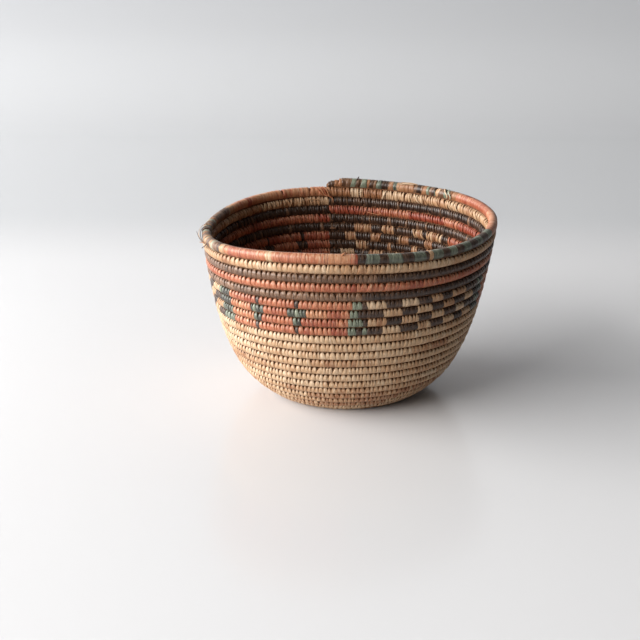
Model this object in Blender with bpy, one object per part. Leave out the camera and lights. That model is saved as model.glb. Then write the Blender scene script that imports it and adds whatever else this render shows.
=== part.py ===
"""Coiled basket: a spiral bundle of grass bound with strips of palm leaf, plain below and dyed above.

Metres, +Z up. The origin is the middle of the underside, and the finished end of the coil is at the back.
A place on the coil is given in turns counted back from that end, so turn 0 is the very end, turns 0 to 1
are the rim, and the highest turn is the start in the middle of the base.
"""
import math

import bmesh
import bpy
from mathutils import Vector

for left_over in list(bpy.data.objects):
    bpy.data.objects.remove(left_over, do_unlink=True)

# Driving sizes of the body, in metres. The lengths run down the middle of the wall, from the rim to the base
rim_radius = 0.1223
flare_length = 0.0800
shoulder_length = 0.0400
belly_length = 0.0280
heel_length = 0.0200
foot_length = 0.0128

# How far the wall leans inwards from upright where those lengths meet, in degrees
rim_lean = 5.4
shoulder_lean = 13.5
belly_lean = 25.0
heel_lean = 45.0
foot_lean = 58.0
base_lean = 90.0

# Sizes of the coil
coil_pitch = 0.0080
coil_thickness = 0.0076
coil_gap = 0.0005
rim_growth = 0.0006
wrap_thickness = 0.0010
fit_gap = 0.0003
base_cut = 0.0005

# Sizes of the two ends of the coil
start_width = 0.0022
knot_radius = 0.0042
knot_bevel = 0.0012
end_taper_length = 0.0100
end_taper_share = 0.55

# Where the finished end lies, in degrees counter-clockwise from +X, seen from above
end_angle = 99.0

# The hand of the maker, as shares of the rim radius: the rim is out of round, tilted and a little uneven
lean_right_share = 0.0087
lean_back_share = 0.0172
oval_share = (0.0341, 0.0332)
three_sided_share = (0.0184, 0.0043)
tilt_share = (0.0011, 0.0274)
saddle_share = (-0.0199, 0.0044)
ripple_share = (0.0138, 0.0098)

# Counts
steps_per_turn = 20
coil_sides = 8
bundle_sides = 6
knot_sides = 16
first_plain_turn = 9
least_step_share = 0.02
sharp_angle = 50.0

# Loose leaf ends at the left of the rim: angle in degrees, length and rise
loose_width = 0.0007
loose_ends = (
    (198.0, 0.0085, 0.0060),
    (201.0, 0.0100, -0.0015),
    (204.5, 0.0070, 0.0025),
)
loose_steps = 5
loose_sides = 4

# Colour runs, in degrees counter-clockwise from the finished end
full_circle = 360.0
panel_runs = (
    ("orange_panel_back", "orange", 0.0, 57.0),
    ("checker_panel_left", "brown", 57.0, 113.8),
    ("orange_panel_front", "orange", 113.8, 176.0),
    ("checker_panel_right", "brown", 176.0, 242.0),
    ("orange_panel_right", "orange", 242.0, 298.0),
    ("checker_panel_back", "brown", 298.0, full_circle),
)
panel_rows = (5, 6, 7, 8)
band_rows = (
    ("natural_band", "natural", 1),
    ("upper_brown_band", "brown", 2),
    ("orange_band", "orange", 3),
    ("lower_brown_band", "brown", 4),
)
rim_runs = (
    ("orange", 0.0, 54.0),
    ("green", 54.0, 64.0),
    ("brown", 64.0, 86.0),
    ("green", 86.0, 98.0),
    ("brown", 98.0, 115.4),
    ("natural", 115.4, 119.8),
    ("orange", 119.8, 139.6),
    ("natural", 139.6, 142.3),
    ("orange", 142.3, 174.6),
    ("brown", 174.6, 178.3),
    ("green", 178.3, 193.0),
    ("brown", 193.0, 198.3),
    ("green", 198.3, 203.7),
    ("natural", 203.7, 208.1),
    ("green", 208.1, 220.7),
    ("brown", 220.7, 232.0),
    ("green", 232.0, 246.6),
    ("orange", 246.6, 296.2),
    ("natural", 296.2, 303.5),
    ("green", 303.5, 325.0),
    ("brown", 325.0, 334.4),
    ("green", 334.4, 343.3),
    ("brown", 343.3, 356.4),
)
end_wrap_from = 356.4

# Colours: red, green, blue, roughness
finishes = {
    "natural": (0.70, 0.50, 0.28, 0.60),
    "orange": (0.55, 0.17, 0.08, 0.60),
    "brown": (0.07, 0.045, 0.032, 0.60),
    "green": (0.09, 0.16, 0.12, 0.60),
    "grass": (0.48, 0.38, 0.20, 0.85),
}


# The wall's middle line, as arcs that meet tangent to each other

stretches = (
    (flare_length, rim_lean, shoulder_lean),
    (shoulder_length, shoulder_lean, belly_lean),
    (belly_length, belly_lean, heel_lean),
    (heel_length, heel_lean, foot_lean),
    (foot_length, foot_lean, base_lean),
)


def wall_at(arc):
    """Radius, height below the rim and lean of the wall's middle line, arc metres down from the rim."""
    radius, drop = rim_radius, 0.0
    for length, lean_from, lean_to in stretches:
        start, end = math.radians(lean_from), math.radians(lean_to)
        curl = (end - start) / length
        inside = min(arc, length)
        lean = start + curl * inside
        radius += (math.cos(lean) - math.cos(start)) / curl
        drop += (math.sin(lean) - math.sin(start)) / curl
        if arc <= length:
            return radius, drop, lean
        arc -= length
    return radius - arc, drop, lean


wall_length = sum(length for length, _, _ in stretches)
base_radius, wall_drop, _ = wall_at(wall_length)
base_height = coil_thickness / 2 - base_cut
rim_height = wall_drop + base_height


# The spiral: how far down the wall each turn lies, and how wide the coil is there

def extra_at(turn):
    """What the coil is thicker at the rim. The extra fades out over the second turn."""
    return rim_growth * min(max(2 - turn, 0.0), 1.0)


def growth_sum(turn):
    """Extra distance down the wall: each turn gets the mean of its own extra and of the next one's."""
    fading = min(turn, 2)
    return rim_growth * fading * (5 - fading) / 4


def turns_in(length, radius):
    return length / (2 * math.pi * radius)


first_turn_step = (start_width + coil_pitch - coil_gap) / 2 + coil_gap
start_radius = knot_radius + coil_gap + start_width / 2
last_full_turn = (wall_length + base_radius - start_radius - first_turn_step - growth_sum(2)) / coil_pitch
start_turn = last_full_turn + 1


def arc_at(turn):
    """Distance down the wall from the rim to the middle of the coil."""
    full = min(turn, last_full_turn)
    return coil_pitch * full + growth_sum(full) + first_turn_step * (turn - full)


flat_corner_share = math.tan(math.pi / coil_sides)


def width_at(turn):
    """Coil width along the wall: narrower where the wall curves, so that turns keep their gap."""
    arc = arc_at(turn)
    lean = wall_at(arc)[2]
    above = wall_at(max(arc - coil_pitch, 0.0))[2]
    below = wall_at(arc + coil_pitch)[2]
    bend = max(lean - above, below - lean) / 2
    chord = coil_pitch * math.sin(bend) / bend if bend else coil_pitch
    corner = flat_corner_share * coil_thickness * math.sin(bend)
    width = (chord - coil_gap - corner) / math.cos(bend)
    into_start = min(max(turn - last_full_turn, 0.0), 1.0)
    return width + (start_width - width) * into_start + extra_at(turn)


def angle_at(turn):
    """Angle about the axis, in radians: the coil climbs counter-clockwise, seen from above."""
    return math.radians(end_angle - full_circle * turn)


def waves(share, angle, order):
    return share[0] * math.cos(order * angle) + share[1] * math.sin(order * angle)


def by_hand(radius, drop, angle):
    """A point of the true spiral, moved to where the maker's hand left it. The base stays flat."""
    near_rim = max(1 - drop / wall_drop, 0.0)
    uneven = waves(tilt_share, angle, 1) + waves(saddle_share, angle, 2) + waves(ripple_share, angle, 3)
    out_of_round = waves((oval_share[0], oval_share[1] * near_rim), angle, 2)
    out_of_round += near_rim * waves(three_sided_share, angle, 3)
    reach = radius * (1 + out_of_round)
    return Vector((
        reach * math.cos(angle) + rim_radius * lean_right_share * near_rim,
        reach * math.sin(angle) + rim_radius * lean_back_share * near_rim,
        rim_height - drop + rim_radius * uneven * near_rim * near_rim,
    ))


def on_coil(turn, outward, along):
    """A point beside the coil's middle line: outward from the wall, and along it towards the base."""
    radius, drop, lean = wall_at(arc_at(turn))
    radius += outward * math.cos(lean) - along * math.sin(lean)
    drop += outward * math.sin(lean) + along * math.cos(lean)
    point = by_hand(radius, drop, angle_at(turn))
    point.z = max(point.z, 0.0)
    return point


# Rings of points round the coil. The coil runs straight from one whole step to the next

def whole_ring(step, sides, inset):
    """Corners of the coil's section at a whole step, drawn in by inset on every side."""
    turn = step / steps_per_turn
    half_out = (coil_thickness + extra_at(turn)) / 2 - inset
    half_along = width_at(turn) / 2 - inset
    corner = 1 / math.cos(math.pi / sides)
    ring = []
    for side in range(sides):
        around = math.pi / 2 + math.pi / sides + 2 * math.pi * side / sides
        outward = half_out * corner * math.cos(around)
        ring.append(on_coil(turn, outward, half_along * corner * math.sin(around)))
    return ring


def middle_of(ring):
    return sum(ring, Vector()) / len(ring)


def ring_at(turn, sides, inset):
    """The section at any turn, on the straight run between two whole steps.

    Near the finished end it tapers and settles on the row below.
    """
    step = math.floor(turn * steps_per_turn)
    share = turn * steps_per_turn - step
    before = whole_ring(step, sides, inset)
    after = whole_ring(step + 1, sides, inset)
    ring = [a.lerp(b, share) for a, b in zip(before, after)]
    near_end = max(1 - turn / end_taper_turns, 0.0)
    if near_end:
        half = width_at(turn) / 2
        tapered = half * (1 - (1 - end_taper_share) * near_end)
        scale = (tapered - inset) / (half - inset)
        middle = middle_of(ring)
        settled = middle + on_coil(turn, 0.0, half - tapered) - on_coil(turn, 0.0, 0.0)
        ring = [settled + (point - middle) * scale for point in ring]
    return ring


end_taper_turns = turns_in(end_taper_length, rim_radius)


def stops(turn_from, turn_to):
    """The turns at which a run of coil has a ring: its two ends, the whole steps between, and the taper."""
    first = math.floor(turn_from * steps_per_turn) + 1
    last = math.ceil(turn_to * steps_per_turn) - 1
    middle = [step / steps_per_turn for step in range(first, last + 1)]
    if turn_from < end_taper_turns < turn_to:
        middle.append(end_taper_turns)
    least = least_step_share / steps_per_turn
    inner = sorted(turn for turn in middle if turn_from + least < turn < turn_to - least)
    return [turn_from, *inner, turn_to]


# Solids

def tube_wall(mesh, rings):
    """Skin between rings of points, each a list of corners; returns the rings as mesh corners."""
    corners = [[mesh.verts.new(point) for point in ring] for ring in rings]
    for before, after in zip(corners, corners[1:]):
        for side in range(len(before)):
            beside = (side + 1) % len(before)
            mesh.faces.new((before[side], before[beside], after[beside], after[side]))
    return corners


def close_between(mesh, outer, inner):
    """Close the end of a sleeve: triangles between its outer corners and the corners of its bore."""
    at_outer, at_inner = 0, 0
    while at_outer < len(outer) or at_inner < len(inner):
        outer_next = outer[(at_outer + 1) % len(outer)]
        inner_next = inner[(at_inner + 1) % len(inner)]
        here = (outer[at_outer % len(outer)], inner[at_inner % len(inner)])
        if (at_outer + 1) * len(inner) <= (at_inner + 1) * len(outer):
            mesh.faces.new((here[0], outer_next, here[1]))
            at_outer += 1
        else:
            mesh.faces.new((here[0], inner_next, here[1]))
            at_inner += 1


def add_solid_run(mesh, turn_from, turn_to, sides, inset):
    rings = [ring_at(turn, sides, inset) for turn in stops(turn_from, turn_to)]
    corners = tube_wall(mesh, rings)
    mesh.faces.new(corners[0])
    mesh.faces.new(corners[-1])


def add_sleeve(mesh, turn_from, turn_to):
    """A run of leaf strips wound side by side: a tube that the bundle passes through."""
    places = stops(turn_from, turn_to)
    outer = tube_wall(mesh, [ring_at(turn, coil_sides, 0.0) for turn in places])
    inner = tube_wall(mesh, [ring_at(turn, bundle_sides, wrap_thickness) for turn in places])
    close_between(mesh, outer[0], inner[0])
    close_between(mesh, outer[-1], inner[-1])


def turns_of(row, degrees_from, degrees_to):
    """A stretch of one row as turns, with half the clearance taken off each end."""
    clear = turns_in(fit_gap, wall_at(arc_at(row + 1))[0]) / 2
    later = row + 1 - degrees_from / full_circle - clear
    sooner = row + 1 - degrees_to / full_circle + clear
    return max(sooner, 0.0), later


materials = {}
for finish, (red, green, blue, roughness) in finishes.items():
    material = bpy.data.materials.new(finish)
    material.use_nodes = True
    shader = material.node_tree.nodes["Principled BSDF"]
    shader.inputs["Base Color"].default_value = (red, green, blue, 1.0)
    shader.inputs["Roughness"].default_value = roughness
    shader.inputs["Metallic"].default_value = 0.0
    materials[finish] = material


def finish_object(name, mesh, finish):
    """Turn a bmesh into a named object, faces out, smooth along the coil and sharp at its ends."""
    bmesh.ops.recalc_face_normals(mesh, faces=mesh.faces)
    data = bpy.data.meshes.new(name)
    mesh.to_mesh(data)
    mesh.free()
    data.shade_smooth()
    data.set_sharp_from_angle(angle=math.radians(sharp_angle))
    data.materials.append(materials[finish])
    obj = bpy.data.objects.new(name, data)
    bpy.context.scene.collection.objects.link(obj)
    return obj


# The plain lower coil, leaf-bound all along, and the bare bundle that goes on inside the dyed rows

join_clear = turns_in(fit_gap, wall_at(arc_at(first_plain_turn))[0])

lower_coil = bmesh.new()
add_solid_run(lower_coil, first_plain_turn + join_clear, start_turn, coil_sides, 0.0)
finish_object("lower_coil", lower_coil, "natural")

upper_bundle = bmesh.new()
add_solid_run(upper_bundle, 0.0, first_plain_turn - join_clear, bundle_sides, wrap_thickness + fit_gap)
finish_object("upper_foundation", upper_bundle, "grass")


# The knot that the coil starts from: a bound button in the middle of the base

def start_knot():
    mesh = bmesh.new()
    turned = bmesh.ops.create_circle(mesh, cap_ends=True, radius=knot_radius, segments=knot_sides)
    floor = turned["verts"][0].link_faces[0]
    raised = bmesh.ops.extrude_face_region(mesh, geom=[floor])
    top = [item for item in raised["geom"] if isinstance(item, bmesh.types.BMVert)]
    bmesh.ops.translate(mesh, verts=top, vec=(0.0, 0.0, coil_thickness - base_cut))
    upper_edges = [edge for edge in mesh.edges if all(vert in top for vert in edge.verts)]
    bmesh.ops.bevel(mesh, geom=upper_edges, offset=knot_bevel, segments=2, affect="EDGES", profile=0.5)
    return finish_object("start_knot", mesh, "natural")


start_knot()


# Dyed and natural leaf strips round the bundle: whole rows, then the panels, then the rim

def make_sleeve(name, finish, row, degrees_from, degrees_to):
    sleeve = bmesh.new()
    add_sleeve(sleeve, *turns_of(row, degrees_from, degrees_to))
    return finish_object(name, sleeve, finish)


for name, finish, row in band_rows:
    make_sleeve(name, finish, row, 0.0, full_circle)

for name, finish, degrees_from, degrees_to in panel_runs:
    for number, row in enumerate(panel_rows, start=1):
        make_sleeve(f"{name}_row_{number}", finish, row, degrees_from, degrees_to)

for number, (finish, degrees_from, degrees_to) in enumerate(rim_runs, start=1):
    make_sleeve(f"rim_wrap_{number:02d}_{finish}", finish, 0, degrees_from, degrees_to)

make_sleeve("end_wrap", "brown", 0, end_wrap_from, full_circle)


# Leaf ends that the maker left sticking out of the rim, each a thin tapering strip

def make_loose_end(name, degrees, length, rise):
    turn = 1 - (degrees - end_angle) / full_circle
    seat_ring = ring_at(turn, coil_sides, 0.0)
    outer_corners = sorted(seat_ring, key=lambda corner: corner.xy.length)[-2:]
    seat = middle_of(outer_corners)
    outward = (seat - middle_of(seat_ring)).normalized()
    sideways = outward.cross(Vector((0.0, 0.0, 1.0))).normalized()
    upward = sideways.cross(outward)
    rings = []
    for step in range(loose_steps):
        share = step / (loose_steps - 1)
        half = loose_width * (1 - share / 2) / 2
        middle = seat + outward * (fit_gap + length * share) + upward * rise * share * share
        ring = []
        for side in range(loose_sides):
            around = 2 * math.pi * side / loose_sides
            ring.append(middle + half * (sideways * math.cos(around) + upward * math.sin(around)))
        rings.append(ring)
    strip = bmesh.new()
    corners = tube_wall(strip, rings)
    strip.faces.new(corners[0])
    strip.faces.new(corners[-1])
    return finish_object(name, strip, "green")


for number, (degrees, length, rise) in enumerate(loose_ends, start=1):
    make_loose_end(f"loose_leaf_end_{number}", degrees, length, rise)


# The least gap between one turn and the next, on the corners of the coil

def least_gap(step_from, step_to, sides, inset):
    least = coil_pitch
    for step in range(step_from, step_to - steps_per_turn):
        ring = whole_ring(step, sides, inset)
        below = whole_ring(step + steps_per_turn, sides, inset)
        least = min(least, *((a - b).length for a in ring for b in below))
    return least


mm_per_m = 1000
plain_step = first_plain_turn * steps_per_turn
last_step = math.floor(start_turn * steps_per_turn)
measured = (
    ("dyed rows", 0, plain_step, coil_sides, 0.0),
    ("bare bundle", 0, plain_step, bundle_sides, wrap_thickness + fit_gap),
    ("lower coil", plain_step, last_step, coil_sides, 0.0),
)
print("turns of coil:", round(start_turn, 2))
for label, step_from, step_to, sides, inset in measured:
    gap = least_gap(step_from, step_to, sides, inset)
    print(f"least gap of the {label} to itself: {mm_per_m * gap:.3f} mm")
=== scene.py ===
"""Looks of the coiled basket: every leaf strip of the coil, its dyes and wear, and a plain pale studio.

Metres, +Z up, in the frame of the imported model. A place on the coil is given in turns counted back from the
finished end. An angle in a row is in degrees, counter-clockwise from that end, seen from above. Row 0 is the
rim, and the rows are counted down from it.
"""
import math
import random
from dataclasses import dataclass
from functools import partialmethod

import bpy
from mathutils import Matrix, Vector


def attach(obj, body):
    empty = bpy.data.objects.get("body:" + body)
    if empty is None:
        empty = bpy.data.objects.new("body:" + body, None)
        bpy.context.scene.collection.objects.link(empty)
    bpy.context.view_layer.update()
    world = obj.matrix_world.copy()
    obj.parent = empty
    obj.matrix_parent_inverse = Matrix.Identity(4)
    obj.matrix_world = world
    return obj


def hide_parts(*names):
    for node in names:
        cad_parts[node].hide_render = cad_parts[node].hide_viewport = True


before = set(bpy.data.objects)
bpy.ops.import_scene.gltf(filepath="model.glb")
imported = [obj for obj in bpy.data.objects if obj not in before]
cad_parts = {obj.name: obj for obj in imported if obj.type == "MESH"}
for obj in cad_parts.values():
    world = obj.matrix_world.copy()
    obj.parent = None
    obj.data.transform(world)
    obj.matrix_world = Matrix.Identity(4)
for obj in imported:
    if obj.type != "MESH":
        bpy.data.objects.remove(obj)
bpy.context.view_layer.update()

# Sizes of the body, as on the frame. Each length runs down the middle of the wall, from the rim to the base,
# with how far the wall leans inwards where it starts and where it ends, in degrees
rim_radius = 0.1223
stretches = (
    (0.0800, 5.4, 13.5),
    (0.0400, 13.5, 25.0),
    (0.0280, 25.0, 45.0),
    (0.0200, 45.0, 58.0),
    (0.0128, 58.0, 90.0),
)

# Sizes of the coil, as on the frame. The rim is thicker, and the extra fades out over the second turn
coil_pitch = 0.0080
coil_thickness = 0.0076
coil_gap = 0.0005
rim_growth = 0.0006
base_cut = 0.0005
start_width = 0.0022
knot_radius = 0.0042
full_circle = 360.0
end_angle = 99.0

# The coil's finished end: drawn out longer than on the frame, with a domed tip
end_taper_length = 0.0160
end_taper_share = 0.55
tip_dome_length = 0.0022

# The hand of the maker, as on the frame, in shares of the rim radius
lean_right_share = 0.0087
lean_back_share = 0.0172
oval_share = (0.0341, 0.0332)
three_sided_share = (0.0184, 0.0043)
tilt_share = (0.0011, 0.0274)
saddle_share = (-0.0199, 0.0044)
ripple_share = (0.0138, 0.0098)

# Leaf strips: how thick they are, and how wide outside, inside and on the rim
strip_thickness = 0.0007
outer_widths = {1: 0.0043, 2: 0.0044, 3: 0.0044, 4: 0.0043, 5: 0.0040, 6: 0.0035, 7: 0.0035, 8: 0.0036}
plain_width = 0.00375
start_strip_width = 0.0026
narrow_turns = 2
inner_width = 0.0027
fine_inner_width = 0.0024
rim_width = 0.0023
rough_rim_width = 0.0030

# How ragged the runs of dye end inside, in degrees
ragged_ends = (-1.9, 1.9)

# How uneven the widths are, as a share. One strip in ten is slim
width_spread = 0.24
slim_shares = (0.62,) + 9 * (1.0,)

# How far a strip stands out over its neighbours, and how far it may lie off the coil
rim_relief, rim_rise = 0.00010, (-0.00004, 0.00006)
outer_relief, outer_rise = (0.00030, 0.00052), (-0.00012, 0.00012)
inner_relief, inner_rise = (0.00035, 0.00070), (-0.00020, 0.00045)
crossing_relief, crossing_rise = 0.0006, (0.0004, 0.0008)
knot_relief = 0.0004
knot_count = 11

# Angles round the coil's section: 0 faces out, a quarter turn is the top, half a turn faces in
outer_reach = (math.radians(-112), math.radians(100))
inner_reach = (math.radians(80), math.radians(292))
rim_reach = (math.radians(-104), math.radians(262))

# Shares of the strips inside: sewn across their neighbours, and slanting the other way from the one before
crossing_share = 0.13
alternating_share = 0.8

# Step for finding directions, in turns along the coil and in metres across it
small_step = 0.0005


# The wall's middle line and the spiral on it

def wall_at(arc):
    """Radius, height below the rim and lean of the wall's middle line, arc metres down from the rim."""
    radius, drop = rim_radius, 0.0
    for length, lean_from, lean_to in stretches:
        start, end = math.radians(lean_from), math.radians(lean_to)
        curl = (end - start) / length
        lean = start + curl * min(arc, length)
        radius += (math.cos(lean) - math.cos(start)) / curl
        drop += (math.sin(lean) - math.sin(start)) / curl
        if arc <= length:
            return radius, drop, lean
        arc -= length
    return radius - arc, drop, lean


wall_length = sum(length for length, _, _ in stretches)
base_radius, wall_drop, _ = wall_at(wall_length)
rim_height = wall_drop + coil_thickness / 2 - base_cut


def growth_sum(turn):
    """Extra distance down the wall: each turn gets the mean of its own extra and of the next one's."""
    fading = min(turn, 2)
    return rim_growth * fading * (5 - fading) / 4


first_turn_step = (start_width + coil_pitch - coil_gap) / 2 + coil_gap
start_radius = knot_radius + coil_gap + start_width / 2
coiled_length = wall_length + base_radius - start_radius - first_turn_step - growth_sum(2)
last_full_turn = coiled_length / coil_pitch
start_turn = last_full_turn + 1


def arc_at(turn):
    """Distance down the wall from the rim to the middle of the coil."""
    full = min(turn, last_full_turn)
    return coil_pitch * full + growth_sum(full) + first_turn_step * (turn - full)


def waves(share, angle, order):
    """Height of a wave that goes round the basket order times."""
    return share[0] * math.cos(order * angle) + share[1] * math.sin(order * angle)


def by_hand(radius, drop, angle):
    """A point of the true spiral, moved to where the maker's hand left it."""
    near_rim = max(1 - drop / wall_drop, 0.0)
    uneven = waves(tilt_share, angle, 1) + waves(saddle_share, angle, 2) + waves(ripple_share, angle, 3)
    out_of_round = waves((oval_share[0], oval_share[1] * near_rim), angle, 2)
    out_of_round += near_rim * waves(three_sided_share, angle, 3)
    reach = radius * (1 + out_of_round)
    return Vector((
        reach * math.cos(angle) + rim_radius * lean_right_share * near_rim,
        reach * math.sin(angle) + rim_radius * lean_back_share * near_rim,
        rim_height - drop + rim_radius * uneven * near_rim * near_rim,
    ))


def on_coil(turn, outward=0.0, along=0.0):
    """A point beside the coil's middle line: outward from the wall, and along it towards the base."""
    radius, drop, lean = wall_at(arc_at(max(turn, 0.0)))
    radius += outward * math.cos(lean) - along * math.sin(lean)
    drop += outward * math.sin(lean) + along * math.cos(lean)
    return by_hand(radius, drop, math.radians(end_angle - full_circle * turn))


def coil_size(turn):
    """Half the coil's thickness, half its width along the wall, and how far it settles where it tapers."""
    extra = rim_growth * min(max(2 - turn, 0.0), 1.0)
    into_start = min(max(turn - last_full_turn, 0.0), 1.0)
    stretch = (on_coil(turn, along=small_step) - on_coil(turn, along=-small_step)).length / (2 * small_step)
    half_down = stretch * (coil_pitch + (start_width - coil_pitch) * into_start + extra) / 2
    near_end = max(1 - turn * math.tau * rim_radius / end_taper_length, 0.0)
    taper = 1 - (1 - end_taper_share) * near_end
    return taper * (coil_thickness + extra) / 2, taper * half_down, (1 - taper) * half_down


def coil_frame(turn):
    """Middle of the coil and its directions: outward, down the wall, and on towards the finished end."""
    settled = coil_size(turn)[2]
    middle = on_coil(turn, along=settled)
    onward = (on_coil(turn - small_step) - on_coil(turn + small_step)).normalized()
    outward = on_coil(turn, small_step, settled) - middle
    outward = (outward - onward * outward.dot(onward)).normalized()
    return middle, outward, onward.cross(outward), onward


# Dyes along the rows: each run is the angle where it ends and its dye

def in_turn(ends, *turns):
    """Runs of dyes that come again and again in turn."""
    return tuple((end, turns[n % len(turns)]) for n, end in enumerate(ends))


first_plain_row = 9
end_wrap_from = 357.0
rim_runs = (
    (54.0, "orange"),
    *in_turn(
        (59.0, 63.0, 66.5, 71.0, 74.5, 80.0, 83.5, 88.0, 94.0, 98.5, 102.5, 107.0, 110.5, 115.4),
        "green", "brown"),
    *in_turn((119.8, 139.6, 142.3, 174.6), "natural", "orange"),
    *in_turn((178.3, 183.7, 187.1, 193.0, 198.3, 203.7, 206.0), "brown", "green"),
    (208.1, "natural"),
    *in_turn((212.9, 216.7, 220.7, 224.5, 228.5, 233.0, 237.0, 242.0, 246.6), "green", "brown"),
    (296.2, "orange"), (300.2, "natural"),
    *in_turn((303.5, 305.6, 308.7, 311.2, 314.2, 318.6), "green", "brown"),
    (327.2, "natural"),
    *in_turn((330.6, 334.4, 337.2, 340.0, 343.3, 346.6, 351.3, 353.2), "green", "brown"),
    (end_wrap_from, "natural"), (full_circle, "brown"),
)
bands = {
    1: ("natural_band", "natural"), 2: ("upper_brown_band", "brown"),
    3: ("orange_band", "orange"), 4: ("lower_brown_band", "brown"),
}

# The pattern's four rows: where panels and blocks start and end, with a green border between two panels
back_panel = (0.0, 54.0)
left_start, left_end, left_blocks = 60.0, 109.6, 7
left_checkers = [left_start + (left_end - left_start) * (n + 1) / left_blocks for n in range(left_blocks)]
right_panel = (245.0, 295.0)
back_checkers_start = 301.2
front_crosses = {
    5: ((133.0, 134.7, "brown"), (150.0, 151.7, "brown")),
    6: ((129.8, 136.3, "green"), (146.8, 154.7, "green")),
    7: ((130.8, 134.7, "green"), (148.9, 152.2, "green")),
    8: ((130.8, 132.7, "brown"), (149.4, 150.9, "brown")),
}
front_panel_ends = {5: 173.2, 6: 172.3, 7: 171.7, 8: 171.5}
front_border_ends = {5: 179.2, 6: 179.3, 7: 179.8, 8: 179.7}
front_panel_starts = 117.9
right_checkers = {
    5: (187.6, 194.8, 202.6, 209.5, 215.4, 221.1, 229.5, 239.2),
    6: (186.5, 195.2, 202.5, 210.1, 216.5, 222.7, 229.8, 236.3, 239.2),
    7: (188.2, 195.3, 203.6, 210.2, 217.3, 224.6, 230.3, 239.2),
    8: (186.8, 195.0, 203.7, 210.6, 217.5, 224.5, 230.3, 237.2, 239.2),
}
back_checkers = {
    5: (308.0, 311.4, 318.5, 326.9, 332.1, 337.7, 345.9, 354.0),
    6: (307.2, 311.9, 319.0, 324.4, 333.3, 339.6, 345.8, 353.5),
    7: (308.0, 314.0, 318.5, 326.0, 331.5, 338.8, 345.6, 354.0),
    8: (307.0, 313.0, 319.5, 326.0, 332.5, 339.5, 346.0, 353.5),
}

# Panels, and parts of the plain wall, with the angle or the row where each ends
panels = {
    "orange_panel_back": 57.0, "checker_panel_left": 113.8, "orange_panel_front": 176.0,
    "checker_panel_right": 242.0, "orange_panel_right": 298.0, "checker_panel_back": full_circle,
}
plain_parts = {
    "upper_plain_strips": 12, "middle_plain_strips": 15, "lower_plain_strips": 19, "base_strips": 29,
}


def crossed_orange(row, start, end):
    """An orange panel with the front panel's two small crosses, shifted to where it starts."""
    runs = []
    for cross_start, cross_end, dye in front_crosses[row]:
        runs.append((cross_start - front_panel_starts + start, "orange"))
        runs.append((cross_end - front_panel_starts + start, dye))
    return (*runs, (end, "orange"))


def checkers(row, ends):
    """Natural and brown blocks in turn, staggered from row to row."""
    return in_turn(ends, *(("natural", "brown") if row % 2 else ("brown", "natural")))


def panel_runs(row):
    """The runs of one pattern row, from panel to panel."""
    return (
        *crossed_orange(row, *back_panel), (left_start, "green"),
        *checkers(row, left_checkers), (front_panel_starts, "green"),
        *crossed_orange(row, front_panel_starts, front_panel_ends[row]), (front_border_ends[row], "green"),
        *checkers(row, right_checkers[row]), (right_panel[0], "green"),
        *crossed_orange(row, *right_panel), (back_checkers_start, "green"),
        *checkers(row, back_checkers[row]), (full_circle, "green"),
    )


def runs_in(row):
    """All runs of dye in a row."""
    if row == 0:
        return rim_runs
    if row in bands:
        return ((full_circle, bands[row][1]),)
    return panel_runs(row) if row < first_plain_row else ((full_circle, "natural"),)


def piece_at(row, angle, dye):
    """Name of the piece that a strip belongs to."""
    if row == 0:
        return "end_wrap_strips" if angle > end_wrap_from else f"rim_{dye}_strips"
    if row in bands:
        return f"{bands[row][0]}_strips"
    if row < first_plain_row:
        panel = next(name for name, end in panels.items() if angle <= end)
        return f"{panel}_{dye}_strips"
    return next(name for name, last_row in plain_parts.items() if row <= last_row)


# Strips, one by one

@dataclass
class Strip:
    """One strip of leaf over the coil. Pinch and shift are for its upper and its lower end."""

    turn: float
    width: float
    tone: float
    reach: tuple = outer_reach
    relief: float = 0.0
    pinch: tuple = (0.0, 0.0)
    overlap: float = 1.0
    shift: tuple = (0.0, 0.0)
    rise: float = 0.0
    places: tuple = None
    sizes: tuple = None

    def kept(self):
        """Its place and directions, and all that the node trees and the leaf read of it."""
        place, outward, downward, onward = self.places or coil_frame(self.turn)
        return place, {
            "coil_outward": outward, "coil_downward": downward, "coil_onward": onward,
            "coil_sizes": (*(self.sizes or coil_size(self.turn)[:2]), self.width),
            "strip_reach": (*self.reach, self.relief), "strip_pinch": (*self.pinch, self.overlap),
            "strip_shift": (*self.shift, self.rise), "strip_tone": float(self.tone),
        }


# The rim is rough between these angles: wound with wide, loose and faded strips
rough_rim = ((0.0, 30.0), (54.0, 119.8), (296.0, full_circle))
back_rim_end = rough_rim[1][1]

# Shares of the green run on the rough rim that are natural and brown, and of brown in the front border
stray_natural_share = 0.30
stray_brown_share = 0.12
border_brown_share = 0.6
pale_border_width = 3.2

# Up to these angles, brown leaf outside came from a paler batch, and brown leaf inside is darkest, as painted
# shade on the inside of the back and left wall
pale_brown_ends = {0: 112.0, 2: 183.0, 4: 176.0}
painted_shade_inside_end = 100.0
brown_tones = {"end wrap": 0.20, "rough": 0.50, "pale": 0.75, "usual": 0.12, "faded": 0.57, "dark": -0.18}
faded_share = 0.12

# Tone of green leaf, and how much of the strip's own tone adds to it
green_tones = {
    "back rim": (0.72, 0.3), "rough": (0.38, 0.3), "rim": (0.28, 0.3),
    "pale border": (0.35, 0.4), "deep": (0.0, 0.15), "usual": (0.30, 0.33),
}
deep_green_share = 0.6

# What is taken off the tone of orange and natural leaf inside, and near the base outside
inside_losses = {"orange": 0.45, "natural": 0.32}
top_row_loss = 0.08
base_loss = 0.15
first_base_row = 17

# Dye has run into natural leaf of the top row inside, and stained some strips of the rows below the bands
stained_inside = ((334.0, 343.5), (349.5, full_circle))
stained_tones = (-0.5, -0.2)
stained_share = 0.16
stain_loss = 0.5

# The rim's first run is paler, as painted light on the back of the rim, and other natural and orange leaf on
# the rough rim is darker than usual
first_run_painted_light = 0.45
rough_loss = 0.45

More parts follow.
